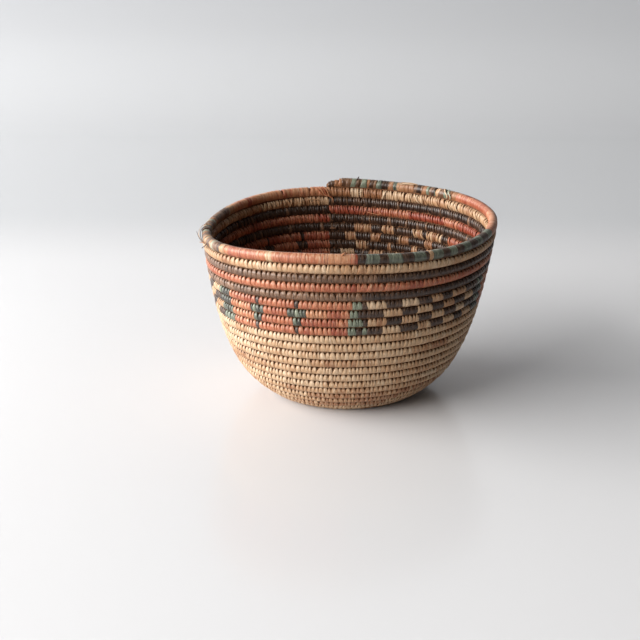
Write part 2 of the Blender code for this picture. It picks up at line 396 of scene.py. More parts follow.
# How much tones differ from leaf to leaf, and from strip to strip
leaf_swing, strip_swing = 0.76, 0.25
brown_leaf_swing, brown_strip_swing = 0.3, 0.2
first_run_swing = 0.6
rough_brown_swing = 0.9
rough_green_swing = 0.54


def is_rough(row, angle):
    """Whether the rim is roughly wound here."""
    return row == 0 and any(start <= angle <= end for start, end in rough_rim)


def laid_dye(row, angle, dye, chance, inside):
    """Dye of one strip: green borders are brown inside, and other dyes stray among green outside."""
    if dye != "green":
        return dye
    if row > 0:
        pale_end = front_panel_ends[row] + pale_border_width
        stray = pale_end < angle < front_border_ends[row] and chance < border_brown_share
        return "brown" if inside or stray else dye
    if not is_rough(row, angle):
        return dye
    return "natural" if chance < stray_natural_share else "brown" if chance > 1 - stray_brown_share else dye


def swing(chance, amount):
    """A difference of up to half of the amount, up or down."""
    return amount * (chance - 0.5)


def brown_tone(row, angle, chance, inside):
    """Tone of brown leaf before its own differences."""
    if row == 0 and angle > end_wrap_from:
        return brown_tones["end wrap"]
    if is_rough(row, angle):
        return brown_tones["rough"]
    if not inside:
        return brown_tones["pale" if angle < pale_brown_ends.get(row, 0.0) else "usual"]
    if chance > 1 - faded_share:
        return brown_tones["faded"]
    # Inside the back and left wall, the darkest brown is painted shade
    return brown_tones["dark" if angle < painted_shade_inside_end else "usual"]


def green_tone(row, angle, tone, chance):
    """Tone of green leaf, from the strip's own tone."""
    if row == 0:
        part = "back rim" if angle < back_rim_end else "rough" if is_rough(row, angle) else "rim"
    elif 0.0 < angle - front_panel_ends[row] < pale_border_width:
        part = "pale border"
    else:
        part = "deep" if chance < deep_green_share else "usual"
    base, own_share = green_tones[part]
    return base + own_share * tone


def inside_tone(row, dye, tone, chance):
    """Tone of orange or natural leaf inside."""
    stained = dye == "natural" and row > max(bands) and chance < stained_share
    loss = top_row_loss if row == 1 and dye == "natural" else inside_losses[dye]
    return tone - (stain_loss if stained else 0.0) - loss


def tone_of(row, angle, dye, leaf_tone, chance, inside):
    """Tone of a strip, from 0 for dark or stained leaf to 1 for pale or faded leaf."""
    rough = is_rough(row, angle)
    if dye == "brown":
        tone = brown_tone(row, angle, chance, inside)
        tone += swing(leaf_tone, brown_leaf_swing) + swing(chance, brown_strip_swing)
        return tone + (swing(chance, rough_brown_swing) if rough else 0.0)
    if row == 1 and inside and any(start < angle < end for start, end in stained_inside):
        low, high = stained_tones
        return low + (high - low) * chance
    tone = 0.5 + swing(leaf_tone, leaf_swing) + swing(chance, strip_swing)
    if dye == "green":
        return green_tone(row, angle, tone, chance) + (swing(chance, rough_green_swing) if rough else 0.0)
    # The rim's first run is made paler as painted light on the back of the rim
    if row == 0 and angle < rim_runs[0][0]:
        return tone + first_run_painted_light + swing(chance, first_run_swing)
    if row == 0:
        return tone - (rough_loss if rough else 0.0)
    if inside:
        return inside_tone(row, dye, tone, chance)
    return tone - (base_loss if row >= first_base_row else 0.0)


def split_evenly(dice, length, width, spread):
    """Widths of the strips that fill a length, each a little different."""
    count = max(round(length / width), 1)
    shares = [dice.uniform(1 - spread, 1 + spread) * dice.choice(slim_shares) for _ in range(count)]
    return [length * share / sum(shares) for share in shares]


def leaves(dice):
    """Tone and slant of each strip: one leaf makes several before the next is tied in."""
    while True:
        tone, slant = dice.random() ** 0.8, dice.gauss(0.02, 0.07)
        for _ in range(dice.randint(3, 12)):
            yield tone, slant


def width_of(row, angle, side):
    """Usual width of a strip."""
    if row == 0:
        return rough_rim_width if is_rough(row, angle) else rim_width
    if row > last_full_turn - narrow_turns:
        return start_strip_width
    if side == "inside":
        return inner_width if row > first_plain_row else fine_inner_width
    return outer_widths.get(row, plain_width)


def rim_strip(turn, width, tone, slant, _, dice):
    """A strip that goes all round the rim's coil."""
    loose = 3.0 if is_rough(0, full_circle * (1 - turn)) else 1.0
    return Strip(
        turn, width, tone, rim_reach, relief=rim_relief * loose, overlap=1.55 - 0.05 * loose,
        shift=(dice.gauss(0, 0.10) * loose * width, (slant - 0.1) * loose * width),
        rise=dice.uniform(*rim_rise) * loose)


def outer_strip(turn, width, tone, slant, _, dice):
    """A strip on the outside, from its hole above to the row below."""
    half_out, half_down, _ = coil_size(turn)
    return Strip(
        turn, width, tone, sizes=(half_out, half_down * 0.975), relief=dice.uniform(*outer_relief),
        pinch=(dice.uniform(0.50, 0.82), 0.0), overlap=dice.uniform(1.06, 1.18),
        shift=((slant + dice.gauss(0, 0.06)) * width, -slant * width), rise=dice.uniform(*outer_rise))


def inner_strip(turn, width, tone, _, pair, dice):
    """A strip on the inside, drawn together at both ends and slanting."""
    half_out, half_down, _ = coil_size(turn)
    lean = dice.gauss(0.45, 0.30) * width
    return Strip(
        turn, width, tone, inner_reach, relief=dice.uniform(*inner_relief),
        pinch=(dice.uniform(0.30, 0.75), dice.uniform(0.20, 0.65)), overlap=dice.uniform(0.80, 1.16),
        shift=(dice.gauss(0, 0.16) * width - lean / 2, lean / 2 + pair * dice.uniform(0.0, 0.30) * width),
        rise=dice.uniform(*inner_rise), sizes=(half_out, half_down * dice.uniform(0.92, 1.12)))


def crossing_strip(turn, width, tone, dice):
    """A narrow strip inside that was sewn across its neighbours."""
    lean = dice.choice((-1.2, 1.8, 2.4, 2.8)) * width
    return Strip(
        turn, width * dice.uniform(0.40, 0.65), tone + dice.uniform(-0.1, 0.2), inner_reach,
        relief=crossing_relief, pinch=(0.45, 0.55), shift=(-lean / 2, lean / 2),
        rise=dice.uniform(*crossing_rise))


strip_kinds = {"rim": rim_strip, "outside": outer_strip, "inside": inner_strip}


def lay_strips(side, rows, dice, pieces):
    """Lay the strips of these rows on one side of the wall, run by run. A piece is a dye and its strips."""
    sewn = leaves(dice)
    inside = side == "inside"
    for row in rows:
        start = max(full_circle * (row + 1 - start_turn), 0.0)
        radius = wall_at(arc_at(min(row + 0.5, start_turn)))[0]
        for end, dye in runs_in(row):
            if end <= start:
                continue
            ragged = dice.uniform(*ragged_ends) if inside and end < full_circle else 0.0
            length = math.radians(end + ragged - start) * radius
            angle = start
            pair = dice.choice((-1, 1))
            for width in split_evenly(dice, length, width_of(row, end, side), width_spread):
                share = math.degrees(width / radius)
                middle = angle + share / 2
                angle += share
                turn = row + 1 - middle / full_circle
                leaf_tone, slant = next(sewn)
                chance = dice.random()
                laid = laid_dye(row, middle, dye, chance, inside)
                tone = tone_of(row, middle, laid, leaf_tone, chance, inside)
                made = [strip_kinds[side](turn, width, tone, slant, pair, dice)]
                if inside and dice.random() < crossing_share:
                    made.append(crossing_strip(turn, width, tone, dice))
                pair = -pair if dice.random() < alternating_share else pair
                pieces.setdefault(piece_at(row, middle, laid), (laid, []))[1].extend(made)
            start = end + ragged


def knot_strips(dice):
    """The start of the coil: strips drawn through one hole in the middle of the base."""
    height = Vector((0.0, 0.0, coil_thickness / 2 - base_cut))
    strips = []
    for n in range(knot_count):
        angle = math.tau * n / knot_count
        radial = Vector((math.cos(angle), math.sin(angle), 0.0))
        onward = Vector((-radial.y, radial.x, 0.0))
        strips.append(Strip(
            start_turn, math.tau * knot_radius * 0.8 / knot_count, dice.uniform(0.2, 0.7), rim_reach,
            relief=knot_relief, pinch=(0.0, 0.85), overlap=1.15,
            sizes=(coil_thickness / 2, knot_radius * 0.5),
            places=(radial * knot_radius * 0.55 + height, Vector((0.0, 0.0, -1.0)), -radial, onward)))
    return strips


# Node trees, written as sums in plain Python

class Link:
    """A value in a node tree. Sums of links add their Math nodes."""

    def __init__(self, maker, socket):
        self.maker, self.socket = maker, socket

    def math(self, operation, *others):
        return self.maker.node("ShaderNodeMath", dict(enumerate((self, *others))), operation=operation)

    __add__ = __radd__ = partialmethod(math, "ADD")
    __sub__ = partialmethod(math, "SUBTRACT")
    __mul__ = __rmul__ = partialmethod(math, "MULTIPLY")
    __truediv__ = partialmethod(math, "DIVIDE")
    __pow__ = partialmethod(math, "POWER")
    __neg__ = partialmethod(math, "MULTIPLY", -1.0)
    least = partialmethod(math, "MINIMUM")
    most = partialmethod(math, "MAXIMUM")
    size = partialmethod(math, "ABSOLUTE")

    def __rsub__(self, other):
        return self.maker.node("ShaderNodeMath", {0: other, 1: self}, operation="SUBTRACT")

    def smooth(self, start, end):
        """0 at start, 1 at end, eased between them."""
        inputs = {0: self, 1: start, 2: end, 3: 0.0, 4: 1.0}
        return self.maker.node("ShaderNodeMapRange", inputs, interpolation_type="SMOOTHSTEP")

    def tint(self, first, second):
        """Colour between first and second, by this share."""
        return self.maker.node("ShaderNodeMix", {0: self, 6: first, 7: second}, 2, data_type="RGBA")

    def parts(self):
        split = self.maker.made("ShaderNodeSeparateXYZ", {0: self})
        return [Link(self.maker, socket) for socket in split.outputs]

    def plus(self, other):
        return self.maker.node("ShaderNodeVectorMath", {0: self, 1: other}, operation="ADD")

    def times(self, amount):
        return self.maker.node("ShaderNodeVectorMath", {0: self, "Scale": amount}, operation="SCALE")


class Maker:
    """Adds nodes to one tree."""

    def __init__(self, tree):
        self.tree = tree

    def feed(self, socket, value):
        """Link an input to another node, or give it a value."""
        if isinstance(value, Link):
            self.tree.links.new(value.socket, socket)
        else:
            socket.default_value = value

    def made(self, kind, inputs=None, **settings):
        node = self.tree.nodes.new(kind)
        for name, value in settings.items():
            setattr(node, name, value)
        for key, value in (inputs or {}).items():
            self.feed(node.inputs[key], value)
        return node

    def node(self, kind, inputs=None, output=0, **settings):
        return Link(self, self.made(kind, inputs, **settings).outputs[output])

    def vector(self, x, y, z):
        return self.node("ShaderNodeCombineXYZ", {0: x, 1: y, 2: z})


class ShapeMaker(Maker):
    """Adds nodes to a tree that makes shapes, with a named input for each size and count."""

    def __init__(self, name, source, sizes):
        tree = bpy.data.node_groups.new(name, "GeometryNodeTree")
        tree.is_modifier = True
        super().__init__(tree)
        self.add_input(source, "NodeSocketGeometry")
        tree.interface.new_socket(name="Made", in_out="OUTPUT", socket_type="NodeSocketGeometry")
        for label, value in sizes.items():
            self.add_input(label, "NodeSocketInt" if isinstance(value, int) else "NodeSocketFloat", value)
        self.add_input("Material", "NodeSocketMaterial")
        given = self.made("NodeGroupInput")
        self.given = {socket.name: Link(self, socket) for socket in given.outputs if socket.name}

    def add_input(self, label, kind, value=None):
        socket = self.tree.interface.new_socket(name=label, in_out="INPUT", socket_type=kind)
        if value is not None:
            socket.default_value = value

    def attribute(self, label):
        return self.node("GeometryNodeInputNamedAttribute", {"Name": label}, data_type="FLOAT_VECTOR")

    def beside_coil(self, out, down):
        """A point beside the coil's middle, outward from the wall and down it."""
        place = self.attribute("strip_middle").plus(self.attribute("coil_outward").times(out))
        return place.plus(self.attribute("coil_downward").times(down))

    def circle(self, sides):
        return self.node("GeometryNodeCurvePrimitiveCircle", {"Resolution": sides, "Radius": 1.0})

    def tube(self, line, section):
        """A closed mesh with the section along the line."""
        tube_parts = {"Curve": line, "Profile Curve": section, "Fill Caps": True}
        return self.node("GeometryNodeCurveToMesh", tube_parts)

    def keep(self, geometry, label, value):
        kind = "GeometryNodeStoreNamedAttribute"
        inputs = {"Geometry": geometry, "Name": label, "Value": value}
        return self.node(kind, inputs, data_type="FLOAT_VECTOR", domain="POINT")

    def finish(self, geometry, position):
        """Move the points, no lower than the floor, shade them smooth and give them their material."""
        x, y, z = position.parts()
        position = self.vector(x, y, z.most(0.0))
        made = self.node("GeometryNodeSetPosition", {"Geometry": geometry, "Position": position})
        for kind in ("GeometryNodeRealizeInstances", "GeometryNodeSetShadeSmooth"):
            made = self.node(kind, {"Geometry": made})
        inputs = {"Geometry": made, "Material": self.given["Material"]}
        self.made("NodeGroupOutput", {0: self.node("GeometryNodeSetMaterial", inputs)})


def signed_power(value, exponent):
    """Power that keeps the sign."""
    return value.size() ** exponent * value.math("SIGN")


def strip_tree():
    """Node tree that lays one leaf strip over the coil at each point that it is given."""
    sizes = {
        "Thickness": strip_thickness, "Squareness": 0.92, "Pinch Begins": 0.30, "Merge": 0.20,
        "Merge Begins": 0.40, "Merge Ends": 0.85, "Flatness": 0.6, "Lower Flatness": 0.55,
        "Low Crown": 0.42, "Crown Gain": 0.88, "Crown Begins": -0.6, "Crown Ends": 0.7,
        "Flat Relief": 0.00010, "Full Relief": 0.00028, "Steps Around": 9, "Sides": 6, "Seed": 0,
    }
    maker = ShapeMaker("leaf_strips", "Points", sizes)
    given = maker.given

    # A straight strip, one unit long: x runs round the coil, y across the strip and z out of its face
    line = maker.node("GeometryNodeCurvePrimitiveLine", {"Start": (0.0, 0.0, 0.0), "End": (1.0, 0.0, 0.0)})
    line = maker.node("GeometryNodeResampleCurve", {"Curve": line, "Count": given["Steps Around"]})
    position = maker.node("GeometryNodeInputPosition")
    strip = maker.keep(maker.tube(line, maker.circle(given["Sides"])), "strip_place", position)

    dice = {0: (0.0, 0.0, 0.0), 1: (1.0, 1.0, 1.0), "Seed": given["Seed"] + 1}
    chances = maker.node("FunctionNodeRandomValue", dice, data_type="FLOAT_VECTOR")
    points = maker.keep(given["Points"], "strip_chance", chances)
    points = maker.keep(points, "strip_middle", position)
    strips = maker.node("GeometryNodeInstanceOnPoints", {"Points": points, "Instance": strip})
    strips = maker.node("GeometryNodeRealizeInstances", {"Geometry": strips})

    around, across, lift = maker.attribute("strip_place").parts()
    half_out, half_down, width = maker.attribute("coil_sizes").parts()
    starts_at, ends_at, relief = maker.attribute("strip_reach").parts()
    top_pinch, bottom_pinch, overlap = maker.attribute("strip_pinch").parts()
    top_shift, bottom_shift, raised = maker.attribute("strip_shift").parts()

    # Each strip merges with its neighbours below, and is drawn together where it goes into a hole above
    angle = starts_at + around * (ends_at - starts_at)
    cosine, sine = angle.math("COSINE"), angle.math("SINE")
    near_top = ((sine - given["Pinch Begins"]) / (1 - given["Pinch Begins"])).most(0.0)
    near_bottom = ((-sine - given["Pinch Begins"]) / (1 - given["Pinch Begins"])).most(0.0)
    pinch = top_pinch * near_top * near_top + bottom_pinch * near_bottom * near_bottom
    fallen = (1 - sine) * 0.5
    merging = fallen.smooth(given["Merge Begins"], given["Merge Ends"])
    breadth = width * overlap * (1 - pinch) * (1 + given["Merge"] * merging) * 0.5
    sideways = top_shift * (1 - fallen) + bottom_shift * fallen
    rising = sine.smooth(given["Crown Begins"], given["Crown Ends"])
    crowned = relief * (given["Low Crown"] + given["Crown Gain"] * rising)
    rise = lift.most(0.0) * crowned + lift.least(0.0) * given["Thickness"] + raised
    flatness = given["Flatness"] * (1 - given["Lower Flatness"] * merging)
    flatness = flatness * (0.5 + 0.5 * relief.smooth(given["Flat Relief"], given["Full Relief"]))
    flattened = signed_power(across, flatness)
    out = (half_out + rise) * signed_power(cosine, given["Squareness"])
    down = -(half_down + rise * 0.5) * signed_power(sine, given["Squareness"])
    moved = maker.beside_coil(out, down)
    moved = moved.plus(maker.attribute("coil_onward").times(-(sideways + flattened * breadth)))
    strips = maker.keep(strips, "strip_side", maker.vector(cosine, sine, 0.0))
    maker.finish(strips, moved)
    return maker.tree


def core_tree():
    """Node tree that draws the bundle along a line of points: round above, and pressed on the row below."""
    maker = ShapeMaker("coil_core", "Line", {"Inset": 0.0008, "Fill": 0.0014, "Sides": 8})
    given = maker.given
    position = maker.node("GeometryNodeInputPosition")
    line = maker.keep(given["Line"], "strip_middle", position)
    line = maker.node("GeometryNodeMeshToCurve", {"Mesh": line})
    core = maker.tube(line, maker.keep(maker.circle(given["Sides"]), "core_place", position))
    right, up, _ = maker.attribute("core_place").parts()
    half_out, half_down, _ = maker.attribute("coil_sizes").parts()
    out = (half_out - given["Inset"]) * right
    down = (half_down + given["Fill"]) * (-up).most(0.0) - (half_down - given["Inset"]) * up.most(0.0)
    maker.finish(core, maker.beside_coil(out, down))
    return maker.tree


def placed(name, data):
    """A new object in the scene."""
    obj = bpy.data.objects.new(name, data)
    bpy.context.scene.collection.objects.link(obj)
    return obj


def keep_on(data, label, values):
    """Keep a number or a vector on each point of a mesh."""
    if isinstance(values[0], float):
        data.attributes.new(label, "FLOAT", "POINT").data.foreach_set("value", values)
        return
    numbers = [number for value in values for number in value]
    data.attributes.new(label, "FLOAT_VECTOR", "POINT").data.foreach_set("vector", numbers)


def points_object(name, strips, joined=False):
    """Mesh of points on the coil, with what each strip keeps."""
    places, kept = zip(*(strip.kept() for strip in strips))
    data = bpy.data.meshes.new(name)
    data.from_pydata(places, [(n, n + 1) for n in range(len(strips) - 1)] if joined else [], [])
    for label in kept[0]:
        keep_on(data, label, [values[label] for values in kept])
    return placed(name, data)


def grown(obj, tree, **inputs):
    """Run the node tree on the object, and leave a plain mesh."""
    modifier = obj.modifiers.new(tree.name, "NODES")
    modifier.node_group = tree
    identifiers = {item.name: item.identifier for item in tree.interface.items_tree}
    for name, value in inputs.items():
        modifier[identifiers[name.replace("_", " ").title()]] = value
    depsgraph = bpy.context.evaluated_depsgraph_get()
    made = bpy.data.meshes.new_from_object(obj.evaluated_get(depsgraph))
    obj.modifiers.remove(modifier)
    points = obj.data
    obj.data = made
    bpy.data.meshes.remove(points)
    made.name = obj.name
    return obj


# Leaf, dyed and plain

class LookMaker(Maker):
    """Adds nodes to a new material."""

    def __init__(self, name):
        self.material = bpy.data.materials.new(name)
        self.material.use_nodes = True
        super().__init__(self.material.node_tree)
        self.shader = self.tree.nodes["Principled BSDF"]

    def attribute(self, label, output=1):
        return self.node("ShaderNodeAttribute", None, output, attribute_name=label)

    def place(self):
        return self.node("ShaderNodeTexCoord", output=3)

    def noise(self, place, scale, detail):
        return self.node("ShaderNodeTexNoise", {"Vector": place, "Scale": scale, "Detail": detail})

    def bump(self, height, strength, distance):
        return self.node("ShaderNodeBump", {"Strength": strength, "Distance": distance, "Height": height})

    def finish(self, looks):
        """Set the shader's inputs, and hand back the material."""
        for label, value in looks.items():
            self.feed(self.shader.inputs[label], value)
        return self.material


def opaque(shade):
    """A shade with full alpha."""
    return (*shade, 1.0)


# Scales of the noises. Fibres run along a strip, so the grain is fine across it and long around the coil
grain_across, grain_around, grain_offset, grain_scale = 3.4, 2.2, 90.0, 2.2
blotch_scale = 55.0
speck_scale = 620.0
seam_per_metre = 2500.0
leaf_bump = (0.45, 0.00025)

# Where each feature fades in. A strip's middle is 0 across it, and its edge 1
# The edge ranges set the painted shade where strips meet, and the crown ranges set wear with a painted
# highlight where a strip faces up
shaded_edge_range, wear_and_highlight_range, split_range = (0.80, 1.0), (0.75, 0.10), (0.09, 0.02)
streak_range, wear_and_highlight_grain_range, speck_range = (0.58, 0.36), (0.40, 0.66), (0.55, 0.75)
split_chance_range, wear_and_highlight_tone_range = (0.74, 0.78), (-0.3, 0.65)
painted_highlight_range, shaded_edge_facing_range = (-0.1, 0.7), (-0.3, 0.8)
grass_range = (0.35, 0.7)
grass_scale = 900.0
grass_bump = (0.5, 0.0003)


def leaf_material(name, shades, wear_and_highlight_colour, shade_and_mark_colour, roughness):
    """Split palm leaf. The shades run from dark and fresh to faded. The crown colour paints a strip's bare,
    worn crown together with a painted highlight where it faces up, and the gap colour paints shade at the
    strips' edges as well as streaks, specks and splits.
    """
    maker = LookMaker(name)
    around, across, _ = maker.attribute("strip_place").parts()
    tone = maker.attribute("strip_tone", 2)
    pick, shift, split_at = maker.attribute("strip_chance").parts()
    upward = maker.attribute("strip_side").parts()[1]
    seam = (maker.attribute("strip_reach").parts()[2] * seam_per_metre).least(1.0)

    grain_place = maker.vector(across * grain_across, around * grain_around, pick * grain_offset)
    grain = maker.noise(grain_place, grain_scale, 3.0)
    blotch = maker.noise(maker.place(), blotch_scale, 3.0)
    speck = maker.noise(maker.place(), speck_scale, 2.0)

    # The strip's own shade, uneven by blotches
    shade = opaque(shades[0])
    steps = len(shades) - 1
    mixed = tone + (pick - 0.5) * 0.16 + (blotch - 0.5) * 0.55
    for number, following in enumerate(shades[1:]):
        shade = mixed.smooth(number / steps, (number + 1) / steps).tint(shade, opaque(following))

    # Painted shade at the strips' edges where they meet, heavier where they face up, with dark streaks,
    # specks and splits
    shaded_edge = across.size().smooth(*shaded_edge_range) * seam
    streak = grain.smooth(*streak_range)
    split = (across - (split_at - 0.5) * 1.1).size().smooth(*split_range) * shift.smooth(*split_chance_range)
    shade_and_marks = shaded_edge * (0.14 + 0.18 * upward.smooth(*shaded_edge_facing_range)) + streak * (0.08 + 0.16 * seam)
    shade_and_marks = (shade_and_marks + split * 0.7 + speck.smooth(*speck_range) * 0.14).least(0.9)

    # Wear along the middle of the strip with a painted highlight where it faces up, both strongest where the
    # strip is pale
    wear_and_highlight = across.size().smooth(*wear_and_highlight_range) * grain.smooth(*wear_and_highlight_grain_range)
    wear_and_highlight = wear_and_highlight * (0.10 + 0.30 * shift + upward.smooth(*painted_highlight_range) * 0.60)
    wear_and_highlight = wear_and_highlight * (0.25 + 0.75 * tone.smooth(*wear_and_highlight_tone_range))
    shade = shade_and_marks.tint(wear_and_highlight.tint(shade, opaque(wear_and_highlight_colour)), opaque(shade_and_mark_colour))
    height = grain * 0.6 + speck * 0.2 - split - shaded_edge * 0.2
    return maker.finish({
        "Base Color": shade,
        "Roughness": (roughness + (grain - 0.5) * 0.25 + shade_and_marks * 0.15).least(0.95),
        "Normal": maker.bump(height, *leaf_bump),
    })


# Colours of the grass, kept dark to paint the shade in the gaps between strips
grass_shades = ((0.085, 0.034, 0.014), (0.27, 0.118, 0.050))


def grass_material():
    """Dry grass of the bundle, seen only between the strips; its colour is kept dark to paint the shade of
    those gaps.
    """
    maker = LookMaker("grass_bundle")
    stems = maker.noise(maker.place(), grass_scale, 2.0)
    return maker.finish({
        "Base Color": stems.smooth(*grass_range).tint(*map(opaque, grass_shades)),
        "Roughness": 0.75 + stems * 0.2,
        "Normal": maker.bump(stems, *grass_bump),
    })


# Each dye: its shades from dark to faded, its crown colour for wear and a painted highlight, its colour for
# painted shade at the edges and for streaks, specks and splits, and its roughness
dyes = {
    "natural": (
        ((0.285, 0.117, 0.046), (0.42, 0.227, 0.109), (0.495, 0.309, 0.171), (0.575, 0.403, 0.256)),
        (0.72, 0.585, 0.427), (0.12, 0.050, 0.020), 0.50),
    "orange": (
        ((0.245, 0.039, 0.015), (0.38, 0.108, 0.044), (0.455, 0.190, 0.086)),
        (0.70, 0.475, 0.312), (0.09, 0.016, 0.007), 0.46),
    "brown": (
        ((0.022, 0.008, 0.004), (0.050, 0.021, 0.010), (0.124, 0.058, 0.028), (0.20, 0.101, 0.053)),
        (0.35, 0.23, 0.153), (0.013, 0.005, 0.002), 0.40),
    "green": (
        ((0.026, 0.021, 0.015), (0.066, 0.074, 0.055), (0.16, 0.18, 0.125), (0.34, 0.33, 0.23)),
        (0.38, 0.405, 0.30), (0.013, 0.010, 0.007), 0.38),
}
leaf = {dye: leaf_material(f"{dye}_leaf", *looks) for dye, looks in dyes.items()}
grass = grass_material()


# Build the strips, piece by piece

node_names = set(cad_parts)
replaced = set()


def settle_in(piece, slot, *nodes):
    """Hand a finished piece to the frame, in place of the CAD nodes that it stands for."""
    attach(piece, "root")
    nodes = sorted(set(nodes) & node_names - replaced)
    if nodes:
        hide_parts(*nodes)
        replaced.update(nodes)


def nodes_for(name, dye):
    """The CAD nodes that a piece of strips stands for."""
    if name.startswith("rim"):
        return [node for node in node_names if node.startswith("rim_wrap") and node.endswith(dye)]
    panel = next((label for label in panels if name.startswith(label)), None)
    if panel and dye == ("orange" if panel.startswith("orange") else "brown"):
        return [f"{panel}_row_{number}" for number in (1, 2, 3, 4)]
    return ["lower_coil"] if name == "lower_plain_strips" else [name.removesuffix("_strips")]


laying = strip_tree()
pieces = {}
lay_strips("rim", [0], random.Random(3), pieces)
lay_strips("outside", range(1, math.ceil(start_turn)), random.Random(11), pieces)
lay_strips("inside", range(1, math.ceil(start_turn)), random.Random(23), pieces)
pieces["start_knot_strips"] = ("natural", knot_strips(random.Random(5)))

for seed, (name, (dye, strips)) in enumerate(sorted(pieces.items())):
    piece = grown(points_object(name, strips), laying, seed=100 * seed, material=leaf[dye])
    settle_in(piece, f"{dye}_leaf", *nodes_for(name, dye))

# The bundle inside the strips, as one tube that ends in the domed tip
core_steps = 72
dome_shares = (0.5, 0.8, 0.97)
rings = [Strip(n / core_steps, 0.0, 0.0) for n in range(int(start_turn * core_steps) + 1)]
tip, (tip_out, tip_down, _) = coil_frame(0.0), coil_size(0.0)
for share in dome_shares:
    shrunk = math.sqrt(1 - share * share)
    place = (tip[0] + tip[3] * tip_dome_length * share, *tip[1:])
    rings.insert(0, Strip(0.0, 0.0, 0.0, places=place, sizes=(tip_out * shrunk, tip_down * shrunk)))
bundle = grown(points_object("grass_bundle", rings, joined=True), core_tree(), material=grass)
settle_in(bundle, "grass_bundle", "upper_foundation")


# Loose pieces of leaf

strand_squareness = 0.8
strand_thickness = 0.0005
strand_steps = 6
strand_chance = (0.5, 0.3, 0.5)
sides = 6
blunt_share = 0.35
tapered_share = 0.2


def round_coil(angle, around, rise, row=0):
    """A place on the wound coil, rise metres above its strips, and the direction away from it."""
    turn = row + 1 - angle / full_circle
    middle, outward, downward, _ = coil_frame(turn)
    half_out, half_down, _ = coil_size(turn)
    spin = (math.cos(math.radians(around)), math.sin(math.radians(around)))
    across, up = (math.copysign(abs(part) ** strand_squareness, part) for part in spin)
    normal = (outward * spin[0] - downward * spin[1]).normalized()
    return middle + outward * half_out * across - downward * half_down * up + normal * rise, normal


def smooth_route(route):
    """Points and normals on a smooth curve through the route's points."""
    ends = [route[0], *route, route[-1]]
    made = []
    for knots in zip(ends, ends[1:], ends[2:], ends[3:]):
        for step in range(strand_steps):
            t = step / strand_steps
            weights = (
                (-t + 2 * t * t - t ** 3) / 2, (2 - 5 * t * t + 3 * t ** 3) / 2,
                (t + 4 * t * t - 3 * t ** 3) / 2, (t ** 3 - t * t) / 2)
            weighted = [[part * weight for part in knot] for knot, weight in zip(knots, weights)]
            made.append(tuple(sum(parts, Vector()) for parts in zip(*weighted)))
    return [*made, route[-1]]


def leaf_strand(name, dye, width, tone, route, *nodes):
    """A loose strip of leaf along a route, flat and narrowed at both ends."""
    line = smooth_route([round_coil(*place) for place in route])
    verts, faces, places = [], [], []
    for n, (middle, normal) in enumerate(line):
        ahead = (line[min(n + 1, len(line) - 1)][0] - line[max(n - 1, 0)][0]).normalized()
        side = normal.cross(ahead).normalized()
        normal = ahead.cross(side)
        share = n / (len(line) - 1)
        taper = blunt_share + (1 - blunt_share) * min(1.0, min(share, 1 - share) / tapered_share)
        for corner in range(sides):
            angle = math.tau * corner / sides
            across, lift = math.cos(angle), math.sin(angle)
            verts.append(middle + side * across * width * taper / 2 + normal * lift * strand_thickness / 2)
            places.append((share, across, lift))
        if n:
            first = (n - 1) * sides
            for corner in range(sides):
                after = (corner + 1) % sides
                faces.append((first + corner, first + after, first + sides + after, first + sides + corner))
    last = (len(line) - 1) * sides
    faces += [tuple(reversed(range(sides))), tuple(range(last, last + sides))]
    data = bpy.data.meshes.new(name)
    data.from_pydata(verts, [], faces)
    keep_on(data, "strip_place", places)
    keep_on(data, "strip_tone", [float(tone)] * len(verts))
    keep_on(data, "strip_chance", [strand_chance] * len(verts))
    data.shade_smooth()
    data.materials.append(leaf[dye])
    settle_in(placed(name, data), f"{dye}_leaf", *nodes)


# Each loose end: its dye, width and tone, and its route: angle, angle round the coil, rise, row off the rim
loose_ends = {
    "loose_leaf_end_1": ("brown", 0.0009, 0.1, (
        (101.5, -20, 0.0002), (99.0, -5, 0.0016), (96.0, 15, 0.0034), (92.0, 30, 0.0052))),
    "loose_leaf_end_2": ("brown", 0.0009, 0.1, (
        (104.5, 5, 0.0002), (102.0, -30, 0.0016), (98.0, -50, 0.0040), (95.5, -58, 0.0062))),
    "loose_leaf_end_3": ("natural", 0.0007, -0.3, (
        (103.0, 10, 0.0002), (100.0, -8, 0.0014), (96.5, -14, 0.0034))),
}
for node, strand in loose_ends.items():
    leaf_strand(f"{node}_strand", *strand, node)

# Strands that lie on the coil or stand off it, in the same way
strands = {
    "rim_dark_loop": ("brown", 0.0017, 0.0, (
        (83.0, 165, 0.0003), (84.5, 135, 0.0011), (86.0, 100, 0.0013), (88.0, 62, 0.0014),
        (91.0, 28, 0.0015), (95.0, 0, 0.0012), (98.0, -25, 0.0002))),
    "rim_pale_loop": ("natural", 0.0016, 1.1, (
        (80.0, 80, 0.0003), (84.5, 48, 0.0018), (89.0, 22, 0.0026), (94.0, 2, 0.0024),
        (99.0, -20, 0.0006))),
}
for number, (back, tone) in enumerate(((0.0, 1.0), (1.3, 0.35), (2.5, 1.1), (4.0, 0.6)), 1):
    route = (
        (3.2 + back, 85, 0.0004), (2.4 + back, 125, 0.0008), (1.2 + back, 165, 0.0012),
        (0.2 + back * 0.7, 205, 0.0016), (359.2, 225 - 6 * back, 0.0020, 1),
        (358.4 + 0.3 * back, 150, 0.0014, 2), (357.9 + 0.3 * back, 190, 0.0006, 2))
    strands[f"end_crossing_strand_{number}"] = ("orange", 0.0011, tone, route[:8 - number])
strands["end_lying_strand"] = ("natural", 0.0009, 0.3, (
    (11.0, 158, 0.0006, 1), (8.0, 162, 0.0009, 1), (4.4, 168, 0.0006, 1)))
strands["grey_patch_strand"] = ("brown", 0.0016, 1.1, (
    (359.8, 189, 0.0008, 5), (358.2, 189, 0.0013, 5), (356.6, 188, 0.0008, 5)))
